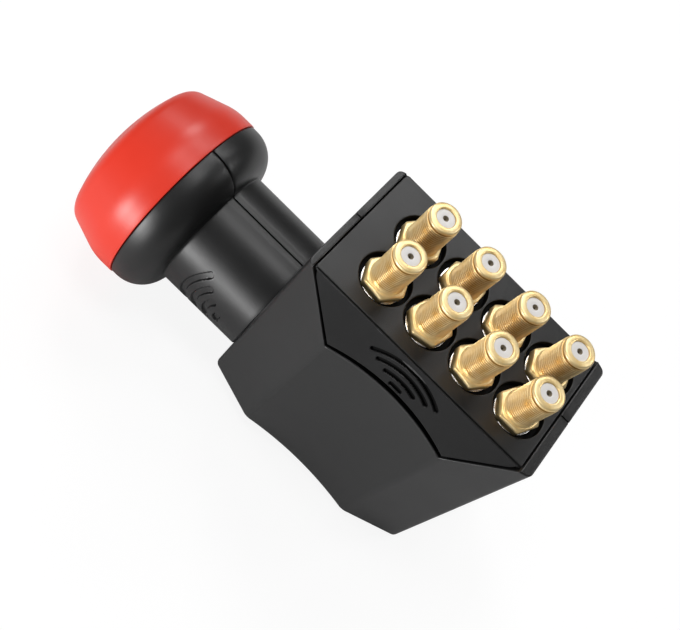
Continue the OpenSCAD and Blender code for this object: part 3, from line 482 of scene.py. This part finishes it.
def cover_plate(points, faces):
    """The plate: a square of skin round each hole, strips beside them, and the fold lines."""
    half_x, half_y = PITCH / 2, ROWS / 2
    tilt = math.atan2(half_y, half_x)
    corners = [tilt, math.pi - tilt, math.pi + tilt, 2 * math.pi - tilt]
    turns = sorted([k * math.pi / 60 for k in range(120)] + corners)
    rounding = [(0.34, 0.0), (0.24, 0.0), (0.1, 0.04), (0.03, 0.12), (0.0, 0.26), (0.0, PLATE_T)]
    for x, y in PORTS:
        rows = [[] for _ in range(1 + len(rounding))]
        for t in turns:
            c, s = math.cos(t), math.sin(t)
            far = min(half_x / max(abs(c), 1e-9), half_y / max(abs(s), 1e-9))
            rows[0].append((x + far * c, y + far * s, PLATE_Z))
            for row, (r, drop) in zip(rows[1:], rounding):
                row.append((x + (HOLE_R + r) * c, y + (HOLE_R + r) * s, PLATE_Z - drop))
        sheet_of(rows, points, faces, True)
    near_x, far_x = PORTS[0][0] - half_x, PORTS[3][0] + half_x
    # Distances from the middle and depths below the plate: the near fold has a groove along it.
    folds = {-1: [(ROWS, 0.0), (19.2, 0.0), (19.48, 0.0), (19.58, 0.03), (19.7, 0.3), (19.82, 0.5),
                  (19.94, 0.3), (20.02, 0.1), (20.08, 0.05), (20.14, 0.07), (20.2, 0.14)],
             1: [(ROWS, 0.0), (19.2, 0.0), (20.4, 0.0), (20.7, 0.01), (20.82, 0.05), (20.93, 0.14)]}
    ends = [(COVER_X0, 1.6), (COVER_X0, 0.3), (COVER_X0 + 0.08, 0.1), (COVER_X0 + 0.28, 0.0),
            (COVER_X0 + 0.4, 0.0)]
    inner = [(x, 0.0) for x in spread(near_x, far_x, 40)]
    along = ends + inner + [(COVER_X0 + COVER_X1 - x, d) for x, d in reversed(ends)]
    for side in (-1, 1):
        half = TOP_HALF[side]
        edge = 0.28 * FLAP_SLOPE[side] / math.hypot(1, FLAP_SLOPE[side])
        rows = []
        for y, d in folds[side] + [(half + edge, 0.27)]:
            bend = min(max(y - half + TOP_CORNER, 0.0), TOP_CORNER)
            around = TOP_CORNER - math.sqrt(TOP_CORNER ** 2 - bend ** 2)
            rows.append([(corner_in(x, around), side * y, PLATE_Z - max(d, drop) - min(d, drop) * 0.3)
                         for x, drop in along])
        sheet_of(rows, points, faces)
    for first, corner in ((ends, near_x), ([(COVER_X0 + COVER_X1 - x, d) for x, d in ends], far_x)):
        strip = first + [(corner, 0.0)]
        sheet_of([[(x, y, PLATE_Z - d) for y in spread(-ROWS, ROWS, 16)] for x, d in strip], points, faces)


cover_skin, cover_faces = [], []
cover_plate(cover_skin, cover_faces)
for side in (-1, 1):
    cover_flap(side, cover_skin, cover_faces)
socket_cover = piece("moulded_socket_cover", cover_skin, cover_faces, sharp=80)
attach(socket_cover, "root")
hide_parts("socket_cover")
cover_black = moulded("cover_black_plastic", (0.0085, 0.0085, 0.0087), (0.0105, 0.0105, 0.0108),
                      3500, 0.4, 0.34, 0.42)
flap_black = moulded("flap_black_plastic", (0.0075, 0.0075, 0.0077), (0.0095, 0.0095, 0.0097),
                     2600, 0.6, 0.72, 0.8, 0.28)
for finish in (cover_black, flap_black, painted_shade_black):
    socket_cover.data.materials.append(finish)
# The plate is glossy and the flaps are matt. The grooves' floors and the holes' walls get painted shade, and
# the grooves' upper edges get the glossy plastic so that they catch the light.
GLOSSY, MATT, PAINTED_SHADE = 0, 1, 2
for face in socket_cover.data.polygons:
    side = -1 if face.center.y < 0 else 1
    reach = abs(face.center.y) / MM - TOP_HALF[side]
    slope = FLAP_SLOPE[side]
    under = (reach + (face.center.z / MM - PLATE_Z) * slope) / math.hypot(1, slope)
    if reach > 0.12:
        in_waves = abs(face.center.x / MM - MID_X) < 14
        # Floors deep in the wave grooves get painted shade; the rest of the flaps the matt plastic.
        face.material_index = PAINTED_SHADE if under < -0.4 and in_waves else MATT
        if -0.4 <= under < -0.03 and face.normal.z > 0.6:
            face.material_index = GLOSSY
    # The holes' walls below the plate get painted shade.
    elif reach < -1.3 and face.center.z / MM < PLATE_Z - 0.1:
        face.material_index = PAINTED_SHADE

# Sockets
# Eight coaxial sockets turned from brass and gold plated, each screwed down into the casting by
# its hexagon. Each has a smooth collar, a groove behind it and a thread of 32 turns to the inch.
HEX_TOP, HEX_H, HEX_HALF = 56.1, 3.0, 5.6
PORT_TOP, COLLAR_H, BORE_R = 69.1, 1.48, 2.7
THREAD_R, THREAD_PITCH, THREAD_DEPTH = 4.76, 25.4 / 32, 0.5
# How far each hexagon is turned, in degrees, as the sockets were tightened.
HEX_TURNS = [54, 13, 52, 1, 52, 28, 41, 50]


def thread_cut(phase):
    """Depth of the thread at a part of its turn: a flat crest, two slopes and a flat root."""
    p = phase % 1.0
    return THREAD_DEPTH * max(0.0, min((p - 0.08) / 0.36, (0.92 - p) / 0.36, 1.0))


def turned(line, middle, count):
    """Rows of points round an upright axis, one for each radius and height of the line."""
    turns = spread(0.0, 2 * math.pi, count)[:-1]
    return [[(middle[0] + r * math.cos(t), middle[1] + r * math.sin(t), z) for t in turns] for r, z in line]


def threaded_barrel(middle):
    """Rows from the rim of the mouth over the collar and its groove, and down the thread."""
    mouth = [(BORE_R, 0.7), (BORE_R, 0.15), (2.76, 0.07), (2.9, 0.02), (3.15, 0.0), (3.5, 0.01), (3.95, 0.05),
             (4.2, 0.12), (4.38, 0.24), (4.5, 0.4), (4.55, 0.6), (4.55, 0.88), (4.5, 0.98),
             (4.22, 1.04), (4.15, 1.15), (4.15, 1.28), (4.25, 1.38), (4.45, COLLAR_H)]
    count = 96
    rows = turned([(r, PORT_TOP - drop) for r, drop in mouth], middle, count)
    low, high = HEX_TOP + 0.5, PORT_TOP - COLLAR_H
    steps = round((high - low) / THREAD_PITCH * 10)
    for k in range(1, steps + 1):
        z = high - (high - low) * k / steps
        fade = smooth(0.0, 0.8, high - z)
        run_out = smooth(0.0, 0.9, z - low)
        row = []
        for t in spread(0.0, 2 * math.pi, count)[:-1]:
            cut = thread_cut(z / THREAD_PITCH + t / (2 * math.pi)) * fade * run_out
            r = THREAD_R - 0.1 * (1 - fade) - cut
            row.append((middle[0] + r * math.cos(t), middle[1] + r * math.sin(t), z))
        rows.append(row)
    return rows + turned([(THREAD_R, HEX_TOP + 0.25)], middle, count)


def hexagon(middle, tightened):
    """Rows over the hexagon from the foot of the thread to its underside, with more points at
    its rounded corners than along its flats."""
    sixth = math.pi / 3
    steps = spread(-0.09, 0.09, 8) + spread(0.09, sixth - 0.09, 12)
    turns = sorted(set(round(k * sixth + step, 6) for k in range(6) for step in steps))
    columns = []
    for t in turns:
        if not 0 <= t < 2 * math.pi - 1e-6:
            continue
        corner = abs((t + sixth / 2) % sixth - sixth / 2)
        reach = HEX_HALF / math.cos(sixth / 2 - corner) - 0.12 * max(0.0, 1 - corner / 0.07) ** 2
        chamfer = HEX_TOP - max(reach - (HEX_HALF - 0.2), 0.05) * math.tan(sixth / 2)
        line = [(THREAD_R - 0.6, HEX_TOP + 0.25), (THREAD_R + 0.02, HEX_TOP + 0.24),
                (THREAD_R + 0.14, HEX_TOP + 0.06), (THREAD_R + 0.3, HEX_TOP - 0.01),
                (HEX_HALF - 0.28, HEX_TOP - 0.01), (HEX_HALF - 0.16, HEX_TOP - 0.03),
                (reach - 0.06, chamfer), (reach, chamfer - 0.08), (reach, HEX_TOP - HEX_H)]
        c, s = math.cos(t + tightened), math.sin(t + tightened)
        columns.append([(middle[0] + r * c, middle[1] + r * s, z) for r, z in line])
    return [list(row) for row in zip(*columns)]


def socket_form(index):
    """A socket's skin from its mouth down to the underside of its hexagon."""
    points, faces = [], []
    sheet_of(threaded_barrel(PORTS[index]), points, faces, True)
    sheet_of(hexagon(PORTS[index], math.radians(HEX_TURNS[index])), points, faces, True)
    return points, faces


# Painted shade in the roots of the thread: 1 there and 0 on the crests, from the distance to the socket's own
# axis and the height along it.
painted_root_shade = bpy.data.node_groups.new("painted_root_shade", "ShaderNodeTree")
socket_of(painted_root_shade, "Root", "OUTPUT")
outside = painted_root_shade.nodes.new("NodeGroupOutput")
place = painted_root_shade.nodes.new("ShaderNodeTexCoord")
parts = painted_root_shade.nodes.new("ShaderNodeSeparateXYZ")
flat = painted_root_shade.nodes.new("ShaderNodeCombineXYZ")
radius = painted_root_shade.nodes.new("ShaderNodeVectorMath")
radius.operation = "LENGTH"
painted_root_shade.links.new(place.outputs["Object"], parts.inputs["Vector"])
painted_root_shade.links.new(parts.outputs["X"], flat.inputs["X"])
painted_root_shade.links.new(parts.outputs["Y"], flat.inputs["Y"])
painted_root_shade.links.new(flat.outputs["Vector"], radius.inputs[0])
height = parts.outputs["Z"]
mask = None
for source, none, full in ((radius.outputs["Value"], THREAD_R - 0.06, THREAD_R - 0.4),
                           (height, HEX_TOP + 0.3, HEX_TOP + 0.5),
                           (height, PORT_TOP - 0.98, PORT_TOP - 1.06)):
    span = node(painted_root_shade, "ShaderNodeMapRange", From_Min=none * MM, From_Max=full * MM)
    painted_root_shade.links.new(source, span.inputs["Value"])
    if mask is None:
        mask = span.outputs["Result"]
        continue
    both = painted_root_shade.nodes.new("ShaderNodeMath")
    both.operation = "MULTIPLY"
    painted_root_shade.links.new(mask, both.inputs[0])
    painted_root_shade.links.new(span.outputs["Result"], both.inputs[1])
    mask = both.outputs["Value"]
painted_root_shade.links.new(mask, outside.inputs["Root"])


def plated(name, deep, pale, low, high, root=None, bright=1.0):
    """A bright plated metal with faint tarnish in patches. Where a root shade is given, it is painted into
    the roots of the thread as painted shade."""
    made, tree, shader = material(name)
    shader.inputs["Metallic"].default_value = bright
    skin = tree.nodes.new("ShaderNodeGroup")
    skin.node_tree = sparked
    skin.inputs["Grain Size"].default_value = 1400.0
    skin.inputs["Patch Size"].default_value = 260.0
    skin.inputs["Low Gloss"].default_value = low
    skin.inputs["High Gloss"].default_value = high
    shade = shades(tree, deep, pale, 0.35, 0.6)
    relief = node(tree, "ShaderNodeBump", Strength=0.2, Distance=0.00004)
    tree.links.new(skin.outputs["Patches"], shade.inputs["Fac"])
    colour = shade.outputs["Color"]
    if root:
        masks = tree.nodes.new("ShaderNodeGroup")
        masks.node_tree = painted_root_shade
        mix = tree.nodes.new("ShaderNodeMix")
        mix.data_type = "RGBA"
        mix.inputs["B"].default_value = (*root, 1)
        tree.links.new(masks.outputs["Root"], mix.inputs["Factor"])
        tree.links.new(colour, mix.inputs["A"])
        colour = mix.outputs["Result"]
    tree.links.new(colour, shader.inputs["Base Color"])
    tree.links.new(skin.outputs["Roughness"], shader.inputs["Roughness"])
    tree.links.new(skin.outputs["Height"], relief.inputs["Height"])
    tree.links.new(relief.outputs["Normal"], shader.inputs["Normal"])
    return made


# The third colour, a dark brown, is the painted shade in the thread's roots.
socket_gold = plated("socket_gold_plating", (0.96, 0.68, 0.28), (0.99, 0.79, 0.43), 0.3, 0.42,
                     (0.58, 0.29, 0.055), 0.6)
for index in range(8):
    made = piece("threaded_socket_%d" % (index + 1), *socket_form(index), middle=PORTS[index], sharp=40)
    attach(made, "root")
    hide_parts("socket_%d" % (index + 1))
    dress(made, socket_gold)

# Socket insulators
# A white moulded plug sits a little below each socket's mouth. A funnel in its face
# guides the cable's wire into the bronze contact behind it.
INSULATOR_Z, HOLE_EDGE = PORT_TOP - 0.4, 0.82


def insulator_form(index):
    """The face of an insulator, with its rounded edge, its funnel and its bore."""
    points, faces = [], []
    line = [(BORE_R - 0.01, 2.7), (BORE_R - 0.01, 0.15), (BORE_R - 0.08, 0.04), (BORE_R - 0.22, 0.0),
            (1.6, 0.0), (HOLE_EDGE + 0.08, 0.01), (HOLE_EDGE, 0.04), (0.66, 0.2), (0.5, 0.45), (0.3, 0.6),
            (0.26, 3.4)]
    sheet_of(turned([(r, INSULATOR_Z - drop) for r, drop in line], PORTS[index], 64), points, faces, True)
    return points, faces


insulator_white = moulded("insulator_white_plastic", (0.80, 0.775, 0.755), (0.88, 0.855, 0.83),
                          2200, 0.1, 0.3, 0.4)
# The funnel's middle gets painted shade of the wire hole, brown like the bronze contact below it.
hole_painted_shade = moulded("wire_hole_painted_shade", (0.17, 0.14, 0.09), (0.26, 0.21, 0.14), 2200, 0.1, 0.4, 0.5)
for index in range(8):
    made = piece("socket_insulator_%d" % (index + 1), *insulator_form(index), middle=PORTS[index])
    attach(made, "root")
    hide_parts("insulator_%d" % (index + 1))
    dress(made, insulator_white)
    made.data.materials.append(hole_painted_shade)
    for face in made.data.polygons:
        if math.hypot(face.center.x, face.center.y) < (HOLE_EDGE - 0.01) * MM:
            face.material_index = 1

# Washers and contacts
# A flat nickel-plated washer with rounded edges lies under each hexagon. A bronze contact
# stands in each insulator and goes down to the switch board.
washer_nickel = plated("washer_nickel_plating", (0.55, 0.54, 0.52), (0.76, 0.75, 0.73), 0.16, 0.3)
contact_bronze = plated("contact_bronze_plating", (0.42, 0.30, 0.12), (0.62, 0.46, 0.2), 0.25, 0.4)
for index in range(8):
    points, faces = [], []
    line = [(4.9, 0.01), (5.9, 0.01), (6.06, 0.05), (6.15, 0.14), (6.19, 0.28), (6.19, 0.6), (6.1, 0.74),
            (5.2, 0.78)]
    sheet_of(turned([(r, HEX_TOP - HEX_H - drop) for r, drop in line], PORTS[index], 96), points, faces, True)
    made = piece("spring_washer_%d" % (index + 1), points, faces)
    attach(made, "root")
    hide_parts("washer_%d" % (index + 1))
    dress(made, washer_nickel)
    dress(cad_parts["contact_%d" % (index + 1)], contact_bronze)

# Castings, gasket and screws
# Two aluminium castings lie inside the shells, with a gasket between them: the lower one is bare and carries
# the feed horn and waveguide, the upper one is given a near-black of 0.002 to 0.004.
bare_casting = plated("bare_cast_aluminium", (0.5, 0.5, 0.51), (0.66, 0.66, 0.67), 0.4, 0.55)
dark_casting = moulded("near_black_upper_casting", (0.002, 0.002, 0.002), (0.004, 0.004, 0.004),
                       1800, 0.5, 0.6, 0.75, 0.15)
seal_rubber = moulded("seal_rubber", (0.014, 0.014, 0.014), (0.02, 0.02, 0.02), 1500, 0.3, 0.55, 0.7)
screw_steel = plated("zinc_plated_steel", (0.55, 0.55, 0.56), (0.72, 0.72, 0.72), 0.2, 0.35)
dress(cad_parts["feed_casting"], bare_casting)
dress(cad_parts["upper_casting"], dark_casting)
for word in ("casting_gasket", "cap_seal"):
    dress(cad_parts[word], seal_rubber)
for word in ("casting_screws", "rf_board_screws", "switch_board_screws", "guide_rod"):
    dress(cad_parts[word], screw_steel)

# Circuit boards and probes
# The receiver board lies in the lower casting's tray and the switch board hangs below the
# sockets. Both are fibreglass with green solder mask; the probes reach into the waveguide.
board_green = moulded("board_green_mask", (0.012, 0.11, 0.04), (0.02, 0.18, 0.07), 900, 0.2, 0.25, 0.4)
chip_black = moulded("chip_black_resin", (0.012, 0.012, 0.012), (0.02, 0.02, 0.02), 2500, 0.3, 0.5, 0.6)
crystal_can = plated("crystal_can_plating", (0.5, 0.5, 0.48), (0.7, 0.7, 0.68), 0.15, 0.3)
for word in ("rf_board", "switch_board"):
    dress(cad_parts[word], board_green)
for word in ("board_link", "mixer_chip", "switch_chip"):
    dress(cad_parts[word], chip_black)
dress(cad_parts["crystal"], crystal_can)
for word in ("probe_upright", "probe_level"):
    dress(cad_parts[word], contact_bronze)
for word in ("bush_upright", "bush_level"):
    dress(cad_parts[word], insulator_white)

# Floor
# A plain white table top, on which the object rests on its cap's edge and the foot of its back.
# Seen straight by the camera it is lifted to white, and it keeps the object's soft shadow.
TABLE_GAP, TABLE_REACH = 0.1, 12.0
cap_low = Vector((SEAM_X, 0, -CAP_R - TABLE_GAP)) * MM
body_low = Vector((BODY_LENGTH - 2, 0, FLOOR_Z - TABLE_GAP)) * MM
centre = (cap_low + body_low) / 2
along = (body_low - cap_low).normalized() * TABLE_REACH
across = Vector((0, 1, 0)) * TABLE_REACH
top = bpy.data.meshes.new("table_top")
top.from_pydata([centre + along * a + across * b for a, b in ((-1, -1), (1, -1), (1, 1), (-1, 1))],
                [], [(0, 1, 2, 3)])
table = bpy.data.objects.new("table_top", top)
bpy.context.scene.collection.objects.link(table)
TABLE_SEEN, TABLE_LIFT = 0.16, 0.88
white, tree, shader = material("table_white")
shader.inputs["Roughness"].default_value = 0.9
shader.inputs["Specular IOR Level"].default_value = 0.0
mottle = node(tree, "ShaderNodeTexNoise", Scale=3.0, Detail=2.0)
tint = shades(tree, (0.80, 0.80, 0.80), (0.82, 0.82, 0.82))
seen = tree.nodes.new("ShaderNodeLightPath")
pale = tree.nodes.new("ShaderNodeMix")
pale.data_type = "RGBA"
pale.inputs["B"].default_value = (TABLE_SEEN, TABLE_SEEN, TABLE_SEEN, 1)
lift = tree.nodes.new("ShaderNodeMath")
lift.operation = "MULTIPLY"
lift.inputs[1].default_value = TABLE_LIFT
tree.links.new(mottle.outputs["Fac"], tint.inputs["Fac"])
tree.links.new(tint.outputs["Color"], pale.inputs["A"])
tree.links.new(seen.outputs["Is Camera Ray"], pale.inputs["Factor"])
tree.links.new(pale.outputs["Result"], shader.inputs["Base Color"])
tree.links.new(seen.outputs["Is Camera Ray"], lift.inputs[0])
shader.inputs["Emission Color"].default_value = (1, 1, 1, 1)
tree.links.new(lift.outputs["Value"], shader.inputs["Emission Strength"])
dress(table, white)

# Lamps and camera
# Soft boxes stand round the object at 0.8 m: three low on the near side give the long band
# along the neck, one above gives the second band, and the rest fill in from left and far side.
# The camera stands where the photograph was taken from.
world = bpy.data.worlds.new("pale_room")
bpy.context.scene.world = world
world.use_nodes = True
room = world.node_tree
room.nodes["Background"].inputs["Color"].default_value = (1, 1, 1, 1)
looked_at = room.nodes.new("ShaderNodeLightPath")
level = node(room, "ShaderNodeMapRange", To_Min=0.1, To_Max=1.0)
room.links.new(looked_at.outputs["Is Camera Ray"], level.inputs["Value"])
room.links.new(level.outputs["Result"], room.nodes["Background"].inputs["Strength"])

BOX_AWAY, BOX_WIDE, BOX_HIGH, BOX_AIM = 0.8, 0.22, 0.16, Vector((0, 0, 0.02))


def soft_box(name, bearing, height, power):
    """A soft box at a bearing from the near side towards the back of the body and at a height
    above the table, both in degrees, turned to the middle of the object."""
    b, h = math.radians(bearing), math.radians(height)
    place = BOX_AWAY * Vector((math.cos(h) * math.sin(b), -math.cos(h) * math.cos(b), math.sin(h)))
    lamp = bpy.data.lights.new(name, "AREA")
    lamp.shape = "RECTANGLE"
    lamp.size, lamp.size_y, lamp.energy = BOX_WIDE, BOX_HIGH, power
    made = bpy.data.objects.new(name, lamp)
    made.location = place
    made.rotation_euler = (BOX_AIM - place).to_track_quat("-Z", "Y").to_euler()
    bpy.context.scene.collection.objects.link(made)


soft_box("box_near_left_low", -20, 1, 3.18)
soft_box("box_near_left", -20, 12, 1.63)
soft_box("box_near_low", 0, 2, 1.58)
soft_box("box_above", 0, 90, 0.91)
soft_box("box_left_above", -90, 70, 0.84)
soft_box("box_far", 180, 50, 0.64)
soft_box("box_far_above", -150, 60, 0.80)
soft_box("box_far_left", -135, 40, 1.35)
soft_box("box_far_right", 135, 40, 0.70)

# The photograph's width and the lens's focal length in its pixels, and the camera's place.
PHOTO_WIDTH, FOCAL_LENGTH, SENSOR = 680, 1061.9, 36.0
CAMERA_PLACE = Vector((6.9, -161.4, 271.1)) * MM
camera = bpy.data.cameras.new("photo_camera")
camera.sensor_fit, camera.sensor_width = "HORIZONTAL", SENSOR
camera.lens = FOCAL_LENGTH / PHOTO_WIDTH * SENSOR
camera.clip_start, camera.clip_end = 0.01, 20.0
viewer = bpy.data.objects.new("photo_camera", camera)
right = Vector((0.7126, 0.5813, 0.3928)).normalized()
ahead = Vector((0.0311, 0.5332, -0.8454)).normalized()
up = right.cross(ahead).normalized()
turn = Matrix((right, up, -ahead)).transposed()
viewer.matrix_world = Matrix.Translation(CAMERA_PLACE) @ turn.to_4x4()
bpy.context.scene.collection.objects.link(viewer)
bpy.context.scene.camera = viewer
bpy.context.scene.view_settings.view_transform = "Standard"
